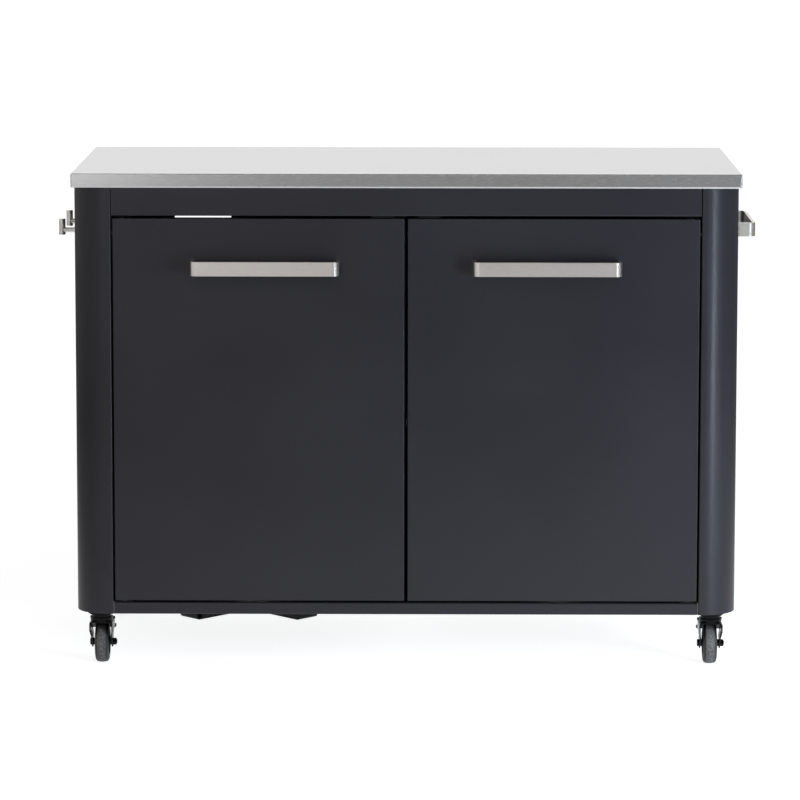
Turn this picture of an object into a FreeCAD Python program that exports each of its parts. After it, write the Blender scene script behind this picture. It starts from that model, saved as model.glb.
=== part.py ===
import FreeCAD, Part
import math
import os
from FreeCAD import Vector

# Grill cart with storage: a stainless worktop on a folded sheet-metal cabinet with two doors,
# a gas-bottle cradle under the left half, side hooks, a side handle and four swivel casters.
# Millimetres. X runs to the right, Y to the back and Z up. The origin is on the floor, under
# the middle of the whole object. The doors face -Y.

# Overall sizes
worktop_width = 1200.0
worktop_depth = 540.0
overall_height = 905.0
caster_clearance = 28.0

# Worktop tray
worktop_sheet = 1.2
worktop_skirt = 26.0
worktop_hem = 9.0
worktop_edge_round = 2.2
front_overhang = 4.5
side_overhang = 1.5
rear_overhang = 2.0
stiffener_sheet = 1.2
stiffener_depth = 18.0
stiffener_width = 50.0
stiffener_flange = 20.0
stiffener_spacing = 210.0
fixing_radius = 2.5
fixing_nut_flats = 8.0
fixing_nut = 4.0
fixing_tip = 2.0
fixing_front_gap = 30.0
fixing_rear_gap = 60.0

# Cabinet shell
panel_sheet = 1.5
panel_bend = 1.5
corner_radius = 60.0
corner_flat = 9.5
jamb_depth = 16.0
rear_flange = 20.0
top_flange = 18.0
back_sheet = 1.2
front_rail_height = 77.0
front_rail_depth = 35.0
front_rail_return = 10.0
rail_joint_gap = 0.8
rear_rail_height = 54.0
rear_rail_depth = 30.0
divider_sheet = 1.2
divider_flange = 15.0
inside_setback = 40.0
sheet_play = 0.3
tray_rear_play = 0.8

# Base
base_lip = 22.0
base_sheet = 1.5
lip_return = 9.0
channel_width = 47.0
channel_sheet = 2.0
channel_play = 1.5
channel_rear_gap = 6.0
channel_edge = 2.0
bottle_hole_radius = 160.0
bottle_shift = 6.5

# Bottle cradle
strap_width = 46.0
strap_sheet = 3.0
strap_bend = 4.0
cradle_drop = 38.5
strap_reach = 156.0
strap_top_reach = 168.0
strap_foot_reach = 196.0
cradle_bolt_radius = 3.0
cradle_bolt_head_radius = 5.2
cradle_bolt_head = 3.3
cradle_nut_flats = 10.0
cradle_nut = 5.0
bolt_tip = 2.0
bolt_head_round = 1.2

# Back panels and their openings
hose_width = 108.5
hose_inset = 204.5
back_joint_drop = 167.0
back_joint_gap = 0.4
vent_length = 60.0
vent_height = 6.0
vent_pitch = 16.0
vent_count = 4
vent_rise = 60.0

# Shelf
shelf_height = 470.0
shelf_sheet = 1.2
shelf_lip = 18.0
shelf_play = 1.0
shelf_round = 1.8
shelf_rail_front_gap = 10.0
shelf_rail_rear_gap = 20.0
shelf_rail_leg = 15.0
shelf_rail_sheet = 1.5

# Doors
door_thickness = 20.0
door_sheet = 1.2
door_round = 1.5
door_side_gap = 3.0
door_centre_gap = 6.0
door_top_gap = 4.5
door_bottom_gap = 3.0
liner_sheet = 1.0
liner_lip = 14.0
liner_play = 0.2
liner_round = 1.2
swage_inset = 90.0
swage_depth = 0.5
swage_round = 30.0

# Hinges
hinge_inset = 16.0
hinge_setback = 7.5
hinge_pin_radius = 3.0
hinge_play = 0.05
bush_radius = 5.0
bush_length = 9.0
bush_flange_radius = 7.0
bush_flange = 0.7
pin_reach = 14.0
bracket_sheet = 2.0
bracket_inner = 14.0
bracket_outer = 13.0
bracket_depth = 34.0
bracket_front_gap = 2.0
bracket_round = 4.0
pin_round = 0.6

# Magnetic catches
catch_offset = 42.0
catch_width = 40.0
catch_height = 16.0
catch_depth = 12.0
catch_round = 2.0
magnet_width = 30.0
magnet_height = 10.0
magnet_sheet = 1.0
strike_sheet = 1.2
catch_gap = 0.3

# Handles and hooks
handle_bar = 6.0
handle_height = 25.5
handle_bend = 6.0
door_handle_length = 266.0
door_handle_reach = 40.0
door_handle_drop = 155.5
door_handle_shift = 12.0
side_handle_length = 215.0
side_reach = 39.3
side_handle_drop = 104.0
side_handle_setback = 155.0
handle_screw_radius = 2.0
handle_screw_head = 3.6
handle_screw_head_height = 2.0
handle_screw_length = 12.0
handle_screw_spacing = 14.0
hook_post_radius = 6.0
hook_post_height = 29.6
hook_post_drop = 100.6
hook_arm_radius = 5.5
hook_arm_rise = 9.4
hook_round = 0.8
hook_setback = 176.0
hook_spacing = 150.0

# Panel screws
screw_radius = 2.0
screw_head = 4.3
screw_head_height = 1.2
screw_head_round = 0.5
screw_length = 9.0
screw_edge = 10.0
screw_low_rise = 60.0
screw_high_drop = 40.0
screw_rail_rise = 12.0
screw_middle_height = 600.0

# Casters
caster_inset = 43.5
caster_setback = 50.0
caster_rear_setback = 58.0
caster_trail = 20.0
plate_width = 43.0
plate_length = 68.0
plate_sheet = 2.5
plate_round = 5.0
plate_bolt_x = 14.5
plate_bolt_y = 26.0
plate_bolt_radius = 2.5
plate_bolt_head_radius = 4.5
plate_bolt_head = 3.0
plate_nut_flats = 8.0
plate_nut = 4.5
race_radius = 21.0
race_taper = 2.0
cage_outer = 17.5
cage_inner = 11.5
race_height = 7.5
race_gap = 4.2
dish_height = 6.8
kingpin_radius = 5.0
kingpin_head_radius = 8.0
kingpin_head = 3.0
kingpin_head_round = 1.0
swivel_play = 0.1
bearing_play = 0.3
wheel_radius = 37.5
wheel_width = 24.5
tread_crown = 2.5
tread_round = 6.5
hub_radius = 27.0
hub_boss_radius = 10.0
hub_boss_width = 28.0
hub_web = 8.0
hub_rim = 4.0
hub_window_radius = 5.0
hub_windows = 6
fork_width = 42.5
fork_axle_width = 38.5
fork_sheet = 2.5
fork_bend = 2.0
fork_boss_radius = 10.0
fork_brow = 16.0
fork_waist = 4.0
fork_toe = 7.0
fork_toe_inset = 3.0
fork_taper_high = 27.0
fork_taper_low = 13.0
axle_radius = 4.0
axle_play = 0.05
axle_head_radius = 6.5
axle_head = 3.5
axle_head_round = 1.0
axle_nut = 6.0
axle_nut_flats = 11.5
axle_tip = 1.2
spacer_wall = 2.5
side_play = 0.3

# Brake pedals
pedal_setback = 30.0
pedal_pivot_rise = 5.0
pedal_pin_radius = 2.5
pedal_cheek = 3.0
pedal_boss_radius = 4.5
pedal_width = 43.0
pedal_tread_gap = 0.2
pedal_tread_length = 18.0
pedal_tread_sheet = 4.0
pedal_tread_round = 1.5
pedal_tread_fall = 18.5
pedal_web_top = 1.5
pedal_shoe_gap = 0.4
pedal_pin_tip = 1.0

# Places that follow from the sizes above
half_width = worktop_width / 2
total_depth = door_handle_reach + worktop_depth - front_overhang
face_y = door_handle_reach - total_depth / 2
worktop_front = face_y - front_overhang
worktop_back = worktop_front + worktop_depth
side_x = half_width - side_overhang
back_y = worktop_back - rear_overhang
under_worktop = overall_height - worktop_sheet
base_z = 2 * wheel_radius + caster_clearance
floor_top = base_z + base_lip
floor_under = floor_top - base_sheet
side_inner = side_x - corner_radius - corner_flat
wall_inner = side_x - panel_sheet
flange_back = back_y - back_sheet
flange_front = flange_back - panel_sheet
rail_half = side_inner - rail_joint_gap
rail_bottom = overall_height - front_rail_height
door_outer = side_inner - door_side_gap
door_inner = door_centre_gap / 2
door_width = door_outer - door_inner
door_bottom = floor_top + door_bottom_gap
door_top = rail_bottom - door_top_gap
hinge_x = door_outer - hinge_inset
hinge_y = face_y + hinge_setback
bottle_x = bottle_shift - wall_inner / 2
bottle_y = face_y + worktop_depth / 2
hose_x = side_x - hose_inset
back_half = side_x - screw_edge / 2
back_joint = overall_height - back_joint_drop
vent_x = side_x / 2
caster_x = side_x - caster_inset
rear_caster_y = back_y - caster_rear_setback
stiffener_bottom = under_worktop - stiffener_depth
stiffener_middle = (face_y + back_y) / 2
rear_rail_bottom = under_worktop - rear_rail_height
pedal_pivot_height = 2 * wheel_radius + pedal_pivot_rise
pedal_tread_height = 2 * wheel_radius - pedal_tread_fall
clear = 1.0
hair = 0.1
long = 2000.0

# The channels begin clear of the rounded corners, and the front casters' bolts lie behind that.
corner_room = corner_radius - panel_sheet - channel_play
corner_reach = max(caster_x + channel_width / 2 - (side_x - corner_radius), 0)
corner_hold = math.sqrt(max(corner_room ** 2 - corner_reach ** 2, 0))
channel_start = face_y + max(corner_radius - corner_hold, lip_return + clear)
bolt_reach = plate_bolt_y + plate_bolt_radius + channel_edge
front_caster_y = max(face_y + caster_setback, channel_start + bolt_reach)

# The tread of a pedal begins where the tyre falls away below it.
tread_rise = pedal_tread_height - wheel_radius
tread_fall = math.sqrt((wheel_radius + pedal_shoe_gap) ** 2 - tread_rise ** 2)
pedal_tread_start = caster_trail + tread_fall + pedal_tread_gap
pedal_tread_end = pedal_tread_start + pedal_tread_length

LEFT = -1
RIGHT = 1


def box(x0, x1, y0, y1, z0, z1):
    """Block between two opposite corners, given as pairs along X, Y and Z in any order."""
    low = Vector(min(x0, x1), min(y0, y1), min(z0, z1))
    return Part.makeBox(abs(x1 - x0), abs(y1 - y0), abs(z1 - z0), low)


def rod(axis, centre, radius, start, end):
    """Round bar along X, Y or Z; centre is its place on the other two axes, in X, Y, Z order."""
    low = min(start, end)
    length = abs(end - start)
    if axis == "x":
        return Part.makeCylinder(radius, length, Vector(low, centre[0], centre[1]), Vector(1, 0, 0))
    if axis == "y":
        return Part.makeCylinder(radius, length, Vector(centre[0], low, centre[1]), Vector(0, 1, 0))
    return Part.makeCylinder(radius, length, Vector(centre[0], centre[1], low), Vector(0, 0, 1))


def at(plane, u, v, w):
    """A point of a drawing in the xy, yz or xz plane, w along the third axis."""
    if plane == "xy":
        return Vector(u, v, w)
    if plane == "yz":
        return Vector(w, u, v)
    return Vector(u, w, v)


def slab(plane, outline, w0, w1):
    """Flat piece with straight edges, from w0 to w1 along the axis across its plane."""
    points = [at(plane, u, v, w0) for u, v in outline]
    wire = Part.makePolygon(points + points[:1])
    return Part.Face(wire).extrude(at(plane, 0, 0, w1 - w0))


def hexagon(plane, centre, flats, w0, w1):
    """Six-sided bar, such as a nut, by its width across the flats."""
    reach = flats / math.sqrt(3)
    outline = []
    for corner in range(6):
        turn = math.radians(60 * corner)
        outline.append((centre[0] + reach * math.cos(turn), centre[1] + reach * math.sin(turn)))
    return slab(plane, outline, w0, w1)


def joined(shapes):
    """One solid from shapes that overlap or share faces."""
    result = shapes[0]
    for shape in shapes[1:]:
        result = result.fuse(shape)
    return result.removeSplitter()


def cut_all(shape, tools):
    """The shape with every tool taken out of it."""
    for tool in tools:
        shape = shape.cut(tool)
    return shape


def group(solids):
    """Separate solids kept together in one node."""
    parts = []
    for solid in solids:
        parts.extend(solid.Solids)
    return Part.makeCompound(parts)


def mirrored(shape):
    """The same shape on the other side of the middle plane X = 0."""
    return shape.mirror(Vector(0, 0, 0), Vector(1, 0, 0))


def rounded(shape, radius, chosen):
    """The shape with a fillet on each edge whose bounding box passes the test."""
    edges = [edge for edge in shape.Edges if chosen(edge.BoundBox)]
    return shape.makeFillet(radius, edges)


def turn_between(before, corner, after):
    """Unit directions into and out of a corner, and the left turn between them in radians."""
    first = (corner[0] - before[0], corner[1] - before[1])
    second = (after[0] - corner[0], after[1] - corner[1])
    length_in = math.hypot(first[0], first[1])
    length_out = math.hypot(second[0], second[1])
    into = (first[0] / length_in, first[1] / length_in)
    out = (second[0] / length_out, second[1] / length_out)
    cross = into[0] * out[1] - into[1] * out[0]
    dot = into[0] * out[0] + into[1] * out[1]
    return into, out, math.atan2(cross, dot)


def shifted_path(points, distance):
    """The path moved to its left by the distance, with its corners mitred."""
    moved = []
    last = len(points) - 1
    for i, point in enumerate(points):
        if i == 0 or i == last:
            a, b = (points[0], points[1]) if i == 0 else (points[last - 1], points[last])
            length = math.hypot(b[0] - a[0], b[1] - a[1])
            normal = (-(b[1] - a[1]) / length, (b[0] - a[0]) / length)
            moved.append((point[0] + normal[0] * distance, point[1] + normal[1] * distance))
            continue
        into, out, turn = turn_between(points[i - 1], point, points[i + 1])
        scale = distance / (1 + math.cos(turn))
        normal = (-into[1] - out[1], into[0] + out[0])
        moved.append((point[0] + normal[0] * scale, point[1] + normal[1] * scale))
    return moved


def path_edges(plane, points, radii, w):
    """Straight edges joined by tangent arcs, one radius for each inner corner."""
    edges = []
    start = points[0]
    for i in range(1, len(points) - 1):
        corner = points[i]
        radius = radii[i - 1]
        into, out, turn = turn_between(points[i - 1], corner, points[i + 1])
        reach = radius * math.tan(abs(turn) / 2)
        entry = (corner[0] - into[0] * reach, corner[1] - into[1] * reach)
        leave = (corner[0] + out[0] * reach, corner[1] + out[1] * reach)
        side = math.copysign(1.0, turn)
        centre = (entry[0] - into[1] * radius * side, entry[1] + into[0] * radius * side)
        away = (corner[0] - centre[0], corner[1] - centre[1])
        scale = radius / math.hypot(away[0], away[1])
        middle = (centre[0] + away[0] * scale, centre[1] + away[1] * scale)
        edges.append(Part.makeLine(at(plane, *start, w), at(plane, *entry, w)))
        arc = Part.Arc(at(plane, *entry, w), at(plane, *middle, w), at(plane, *leave, w))
        edges.append(arc.toShape())
        start = leave
    edges.append(Part.makeLine(at(plane, *start, w), at(plane, *points[-1], w)))
    return edges


def bent_sheet(plane, points, thickness, inner_radii, w0, w1):
    """Folded sheet: the path is its right-hand face, and the thickness lies to the path's left."""
    near = []
    far = []
    for i in range(1, len(points) - 1):
        turn = turn_between(points[i - 1], points[i], points[i + 1])[2]
        inner = inner_radii[i - 1]
        near.append(inner + thickness if turn > 0 else inner)
        far.append(inner if turn > 0 else inner + thickness)
    other = shifted_path(points, thickness)
    edges = path_edges(plane, points, near, w0)
    edges.append(Part.makeLine(at(plane, *points[-1], w0), at(plane, *other[-1], w0)))
    back = path_edges(plane, other, far, w0)
    edges.extend(back)
    edges.append(Part.makeLine(at(plane, *other[0], w0), at(plane, *points[0], w0)))
    wire = Part.Wire(Part.__sortEdges__(edges))
    return Part.Face(wire).extrude(at(plane, 0, 0, w1 - w0))


def worktop():
    """Folded stainless tray with closed corners and a hem behind the front skirt."""
    low = overall_height - worktop_skirt
    tray = box(-half_width, half_width, worktop_front, worktop_back, low, overall_height)
    tray = rounded(tray, worktop_edge_round, lambda b: b.ZMax > low + clear)
    hollow = box(
        -half_width + worktop_sheet, half_width - worktop_sheet,
        worktop_front + worktop_sheet, worktop_back - worktop_sheet,
        low, under_worktop,
    )
    hem = box(
        -half_width + worktop_sheet, half_width - worktop_sheet,
        worktop_front + worktop_sheet, worktop_front + 2 * worktop_sheet,
        low, low + worktop_hem,
    )
    return joined([tray.cut(hollow), hem])


def stiffener_places():
    """Middle of each stiffener, measured along Y."""
    half = stiffener_spacing / 2
    return [stiffener_middle - half, stiffener_middle + half]


def worktop_stiffeners():
    """Hat channels under the worktop, from side panel to side panel."""
    end = side_x - top_flange - clear
    seat = under_worktop - stiffener_sheet
    hats = []
    for middle in stiffener_places():
        inner = stiffener_width / 2
        outer = inner + stiffener_flange
        path = [
            (middle - outer, seat),
            (middle - inner, seat),
            (middle - inner, stiffener_bottom),
            (middle + inner, stiffener_bottom),
            (middle + inner, seat),
            (middle + outer, seat),
        ]
        hats.append(bent_sheet("yz", path, stiffener_sheet, [stiffener_sheet] * 4, -end, end))
    return group(hats)


def fixing_places():
    """X and Y of each stud that holds the worktop to the side panels' top flanges."""
    x = side_x - top_flange / 2
    places = []
    front = face_y + corner_radius + fixing_front_gap
    for y in (front, stiffener_middle, back_y - fixing_rear_gap):
        places.append((-x, y))
        places.append((x, y))
    return places


def worktop_fixings():
    """Weld studs under the worktop, each with its nut below the side panel's flange."""
    studs = []
    seat = under_worktop - panel_sheet
    for place in fixing_places():
        stud = rod("z", place, fixing_radius, under_worktop, seat - fixing_nut - fixing_tip)
        nut = hexagon("xy", place, fixing_nut_flats, seat - fixing_nut, seat)
        studs.append(joined([stud, nut]))
    return group(studs)


def rear_screw_places():
    """X and Z of each screw through the back panels."""
    edge = side_x - screw_edge
    middle = (floor_under + base_z) / 2
    rail = rear_rail_bottom + screw_rail_rise
    places = []
    for z in (base_z + screw_low_rise, screw_middle_height, rail_bottom - screw_high_drop):
        places.append((-edge, z))
        places.append((edge, z))
    places.append((-(back_half + hose_x + hose_width / 2) / 2, rail))
    for x in (-hose_x, 0, hose_x):
        places.append((x, middle))
        if x != -hose_x:
            places.append((x, rail))
    return places


def rear_screw_holes():
    """Holes for the back panels' screws, through every sheet behind them."""
    start = flange_front - rear_flange
    return [rod("y", place, screw_radius, start, back_y + clear) for place in rear_screw_places()]


def panel_screws():
    """Screws that hold the back panels, their heads outside."""
    screws = []
    for place in rear_screw_places():
        head = rod("y", place, screw_head, back_y, back_y + screw_head_height)
        head = rounded(head, screw_head_round, lambda b: b.YMin > back_y + hair)
        shank = rod("y", place, screw_radius, back_y - screw_length, back_y)
        screws.append(joined([head, shank]))
    return group(screws)


def side_panel(side):
    """Side panel, front corner, jamb and rear flange folded from one sheet."""
    path = [
        (side_inner, face_y + jamb_depth),
        (side_inner, face_y),
        (side_x, face_y),
        (side_x, flange_back),
        (side_x - rear_flange, flange_back),
    ]
    radii = [panel_bend, corner_radius - panel_sheet, panel_bend]
    panel = bent_sheet("xy", path, panel_sheet, radii, base_z, under_worktop)
    flange = box(
        side_x - top_flange, side_x - panel_sheet / 2,
        face_y + corner_radius + clear, flange_front,
        under_worktop - panel_sheet, under_worktop,
    )
    panel = joined([panel, flange])
    holes = rear_screw_holes()
    for place in fixing_places():
        holes.append(rod("z", place, fixing_radius, stiffener_bottom, under_worktop + clear))
    if side == RIGHT:
        for place in side_handle_screw_places():
            holes.append(rod("x", place, handle_screw_radius, wall_inner - clear, side_x + clear))
        return cut_all(panel, holes)
    panel = mirrored(panel)
    for place in hook_places():
        holes.append(rod("x", place, handle_screw_radius, -side_x - clear, -wall_inner + clear))
    return cut_all(panel, holes)


def back_panel():
    """Lower back sheet with rows of vent slots."""
    top = back_joint - back_joint_gap
    panel = box(-back_half, back_half, flange_back, back_y, base_z, top)
    cuts = rear_screw_holes()
    for middle in (-vent_x, vent_x):
        for row in range(vent_count):
            z = floor_top + vent_rise + row * vent_pitch
            cuts.append(vent_slot(middle, z))
    return cut_all(panel, cuts)


def upper_back_panel():
    """Two sheets above the lower one; the gap between them lets the gas hose in."""
    top = under_worktop - clear
    gap_left = -hose_x - hose_width / 2
    gap_right = -hose_x + hose_width / 2
    sheets = []
    for x0, x1 in ((-back_half, gap_left), (gap_right, back_half)):
        sheet = box(x0, x1, flange_back, back_y, back_joint, top)
        sheets.append(cut_all(sheet, rear_screw_holes()))
    return group(sheets)


def vent_slot(x, z):
    """Cutter for one level slot with round ends."""
    reach = (vent_length - vent_height) / 2
    front = flange_back - clear
    rear = back_y + clear
    bar = box(x - reach, x + reach, front, rear, z - vent_height / 2, z + vent_height / 2)
    left = rod("y", (x - reach, z), vent_height / 2, front, rear)
    right = rod("y", (x + reach, z), vent_height / 2, front, rear)
    return joined([bar, left, right])


def front_rail():
    """Folded rail above the doors."""
    path = [
        (face_y + front_rail_depth, under_worktop),
        (face_y, under_worktop),
        (face_y, rail_bottom),
        (face_y + front_rail_depth, rail_bottom),
        (face_y + front_rail_depth, rail_bottom + front_rail_return),
    ]
    radii = [panel_bend] * 3
    return bent_sheet("yz", path, panel_sheet, radii, -rail_half, rail_half)


def rear_rail():
    """Folded channel that carries the worktop's rear edge, in front of the side flanges."""
    half = side_x - top_flange - sheet_play
    path = [
        (flange_front - rear_rail_depth, rear_rail_bottom),
        (flange_front, rear_rail_bottom),
        (flange_front, under_worktop),
        (flange_front - rear_rail_depth, under_worktop),
    ]
    rail = bent_sheet("yz", path, panel_sheet, [panel_bend] * 2, -half, half)
    return cut_all(rail, rear_screw_holes())


def divider_panel():
    """Upright sheet between the two compartments, flanged at the front and back."""
    path = [
        (-divider_flange, face_y + inside_setback),
        (0, face_y + inside_setback),
        (0, flange_back),
        (-divider_flange, flange_back),
    ]
    radii = [divider_sheet] * 2
    sheet = bent_sheet("xy", path, divider_sheet, radii, floor_top, stiffener_bottom)
    notch = box(
        -long, long, flange_front - rear_rail_depth - clear, long, rear_rail_bottom - clear, long
    )
    return sheet.cut(notch)


def base_tray():
    """Cabinet floor with its front lip, side and rear lips and the round bottle hole."""
    half = wall_inner - sheet_play
    rear = flange_front - tray_rear_play
    floor = box(-half, half, face_y + panel_sheet + sheet_play, rear, floor_under, floor_top)
    bend = corner_radius - panel_sheet - sheet_play
    floor = rounded(floor, bend, lambda b: b.ZLength > clear and b.YMax < face_y + lip_return)
    notches = []
    for side in (LEFT, RIGHT):
        inner = side * rail_half
        outer = side * (side_inner + panel_sheet + sheet_play)
        notches.append(box(inner, outer, face_y - clear, face_y + jamb_depth + clear, 0, floor_top + clear))
    floor = cut_all(floor, notches)
    path = [
        (face_y + corner_radius, floor_top),
        (face_y, floor_top),
        (face_y, base_z),
        (face_y + lip_return, base_z),
    ]
    lip = bent_sheet("yz", path, base_sheet, [panel_bend] * 2, -rail_half, rail_half)
    square_front = box(
        -rail_half, rail_half, face_y, face_y + lip_return, floor_under - clear, floor_top + clear
    )
    pieces = [floor.cut(square_front), lip]
    pieces.append(box(-half, half, rear - base_sheet, rear, base_z, floor_top))
    for side in (LEFT, RIGHT):
        pieces.append(box(
            side * (half - base_sheet), side * half, face_y + corner_radius + 2 * clear, rear,
            base_z, floor_top,
        ))
    tray = joined(pieces)
    hole = rod("z", (bottle_x, bottle_y), bottle_hole_radius, 0, floor_top + clear)
    return cut_all(tray, [hole] + cradle_bolt_holes() + rear_screw_holes())


def base_channels():
    """Channels under the floor: the outer two carry the casters, the middle one the divider."""
    channels = []
    end = back_y - channel_rear_gap
    half = channel_width / 2
    for middle in (-caster_x, 0, caster_x):
        path = [
            (middle - half, floor_under),
            (middle - half, base_z),
            (middle + half, base_z),
            (middle + half, floor_under),
        ]
        radii = [channel_sheet] * 2
        channels.append(bent_sheet("xz", path, channel_sheet, radii, channel_start, end))
    holes = []
    for x, y in caster_places():
        holes.extend(caster_bolt_holes(x, y))
    return group([cut_all(channel, holes) for channel in channels])


def cradle_bolt_holes():
    """Holes through the cradle's feet and the floor."""
    reach = (strap_top_reach + strap_foot_reach) / 2
    step = reach / math.sqrt(2)
    low = floor_under - strap_sheet - clear
    high = floor_top + clear
    holes = []
    for across in (-step, step):
        for along in (-step, step):
            place = (bottle_x + across, bottle_y + along)
            holes.append(rod("z", place, cradle_bolt_radius, low, high))
    return holes


def bottle_cradle():
    """Two crossed straps that hang from the floor and take the bottle's foot ring."""
    seat = floor_under - strap_sheet
    bottom = base_z - cradle_drop - strap_sheet
    path = [
        (-strap_foot_reach, seat),
        (-strap_top_reach, seat),
        (-strap_reach, bottom),
        (strap_reach, bottom),
        (strap_top_reach, seat),
        (strap_foot_reach, seat),
    ]
    straps = []
    for turn in (45, 135):
        strap = bent_sheet(
            "xz", path, strap_sheet, [strap_bend] * 4, -strap_width / 2, strap_width / 2
        )
        strap.rotate(Vector(0, 0, 0), Vector(0, 0, 1), turn)
        strap.translate(Vector(bottle_x, bottle_y, 0))
        straps.append(strap)
    return cut_all(joined(straps), cradle_bolt_holes())


def cradle_bolts():
    """Bolts up through the cradle's feet, with nuts on the cabinet floor."""
    bolts = []
    for hole in cradle_bolt_holes():
        place = (hole.BoundBox.Center.x, hole.BoundBox.Center.y)
        foot = floor_under - strap_sheet
        head = rod("z", place, cradle_bolt_head_radius, foot - cradle_bolt_head, foot)
        head = rounded(head, bolt_head_round, lambda b: b.ZMax < foot - clear)
        shank = rod("z", place, cradle_bolt_radius, foot, floor_top + cradle_nut + bolt_tip)
        nut = hexagon("xy", place, cradle_nut_flats, floor_top, floor_top + cradle_nut)
        bolts.append(joined([head, shank, nut]))
    return group(bolts)


def shelf():
    """Shelf of the right compartment: a tray turned over, on two side rails."""
    left = shelf_play
    right = wall_inner - shelf_play
    front = face_y + corner_radius + shelf_play
    rear = flange_front - shelf_play
    outer = box(left, right, front, rear, shelf_height - shelf_lip, shelf_height)
    outer = rounded(outer, shelf_round, lambda b: b.ZMin > shelf_height - clear)
    hollow = box(
        left + shelf_sheet, right - shelf_sheet, front + shelf_sheet, rear - shelf_sheet,
        shelf_height - shelf_lip, shelf_height - shelf_sheet,
    )
    return outer.cut(hollow)


def shelf_rails():
    """Angles on the divider and the right side panel; the shelf's lips rest on them."""
    top = shelf_height - shelf_lip
    front = face_y + corner_radius + shelf_rail_front_gap
    rear = flange_front - shelf_rail_rear_gap
    left_path = [
        (0, top - shelf_rail_leg),
        (0, top),
        (shelf_rail_leg, top),
    ]
    right_path = [
        (wall_inner - shelf_rail_leg, top),
        (wall_inner, top),
        (wall_inner, top - shelf_rail_leg),
    ]
    rails = []
    for path in (left_path[::-1], right_path[::-1]):
        rails.append(bent_sheet("xz", path, shelf_rail_sheet, [shelf_rail_sheet], front, rear))
    return group(rails)


def hinge_ends():
    """X of each hinge axis, and the faces between which the bracket and the bush stand."""
    ends = []
    for side in (LEFT, RIGHT):
        ends.append((side * hinge_x, floor_top, floor_top + bracket_sheet, door_bottom, 1))
        ends.append((side * hinge_x, rail_bottom, rail_bottom - bracket_sheet, door_top, -1))
    return ends


def hinge_brackets():
    """Plates that hold the door pins: two on the floor and two under the front rail."""
    plates = []
    for x, seat, face, edge, up in hinge_ends():
        side = math.copysign(1, x)
        plate = box(
            x - side * bracket_inner, x + side * bracket_outer,
            face_y + bracket_front_gap, face_y + bracket_depth, seat, face,
        )
        plate = rounded(plate, bracket_round, lambda b: b.ZLength > clear and b.YMin > hinge_y)
        plates.append(plate.cut(rod("z", (x, hinge_y), hinge_pin_radius, seat, face)))
    return group(plates)


def hinge_pins():
    """Pins that stand in the brackets and reach into the doors."""
    pins = []
    for x, seat, face, edge, up in hinge_ends():
        pin = rod("z", (x, hinge_y), hinge_pin_radius, seat, edge + up * pin_reach)
        tip = edge + up * pin_reach
        pins.append(rounded(pin, pin_round, lambda b: abs(b.ZMin - tip) < hair and b.ZLength < hair))
    return group(pins)


def door_bushes(side):
    """Flanged plastic bushes in the door's lower and upper edges."""
    bushes = []
    for x, seat, face, edge, up in hinge_ends():
        if math.copysign(1, x) != side:
            continue
        place = (x, hinge_y)
        body = rod("z", place, bush_radius, edge, edge + up * bush_length)
        flange = rod("z", place, bush_flange_radius, edge - up * bush_flange, edge)
        bore = rod("z", place, hinge_pin_radius + hinge_play, seat, edge + up * pin_reach)
        bushes.append(joined([body, flange]).cut(bore))
    return group(bushes)


def bush_holes(side):
    """Holes for the bushes through the door's lower and upper edges."""
    place = (side * hinge_x, hinge_y)
    low = rod("z", place, bush_radius, door_bottom - clear, door_bottom + bush_length + clear)
    high = rod("z", place, bush_radius, door_top - bush_length - clear, door_top + clear)
    return [low, high]


def handle_middle(side):
    """X of the middle of a door handle."""
    return side * (door_inner + door_width / 2 - door_handle_shift)


def handle_screw_places(side):
    """X and Z of each screw that holds a door handle."""
    reach = (door_handle_length - handle_bar) / 2
    middle_z = overall_height - door_handle_drop - handle_height / 2
    places = []
    for across in (-reach, reach):
        for up in (-handle_screw_spacing / 2, handle_screw_spacing / 2):
            places.append((handle_middle(side) + across, middle_z + up))
    return places


def door_skin(side):
    """Outer door pan, its face and four returns."""
    x0 = side * door_inner
    x1 = side * door_outer
    back = face_y + door_thickness
    outer = box(x0, x1, face_y, back, door_bottom, door_top)
    outer = rounded(outer, door_round, lambda b: b.YMin < back - clear)
    hollow = box(
        x0 + side * door_sheet, x1 - side * door_sheet, face_y + door_sheet, back,
        door_bottom + door_sheet, door_top - door_sheet,
    )
    holes = bush_holes(side)
    for place in handle_screw_places(side):
        holes.append(rod("y", place, handle_screw_radius, face_y - clear, back))
    return cut_all(outer.cut(hollow), holes)


def door_liner(side):
    """Inner door pan, its lips inside the outer pan's returns."""
    inset = door_sheet + liner_play
    x0 = side * (door_inner + inset)
    x1 = side * (door_outer - inset)
    back = face_y + door_thickness
    low = door_bottom + inset
    high = door_top - inset
    front = back - liner_lip
    outer = box(x0, x1, front, back, low, high)
    outer = rounded(outer, liner_round, lambda b: b.YMin > back - hair)
    hollow = box(
        x0 + side * liner_sheet, x1 - side * liner_sheet, front, back - liner_sheet,
        low + liner_sheet, high - liner_sheet,
    )
    swage = box(
        side * (door_inner + swage_inset), side * (door_outer - swage_inset),
        back - swage_depth, back + clear, door_bottom + swage_inset, door_top - swage_inset,
    )
    swage = rounded(swage, swage_round, lambda b: b.YLength > clear)
    room = []
    for hole in bush_holes(side):
        box_of = hole.BoundBox
        room.append(rod(
            "z", (side * hinge_x, hinge_y), bush_radius + liner_play, box_of.ZMin, box_of.ZMax
        ))
    return cut_all(outer.cut(hollow), [swage] + room)


def bar_handle(path, low):
    """Flat bar bent to a U, standing on its two ends."""
    return bent_sheet("xy", path, handle_bar, [handle_bend] * 2, low, low + handle_height)


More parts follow.
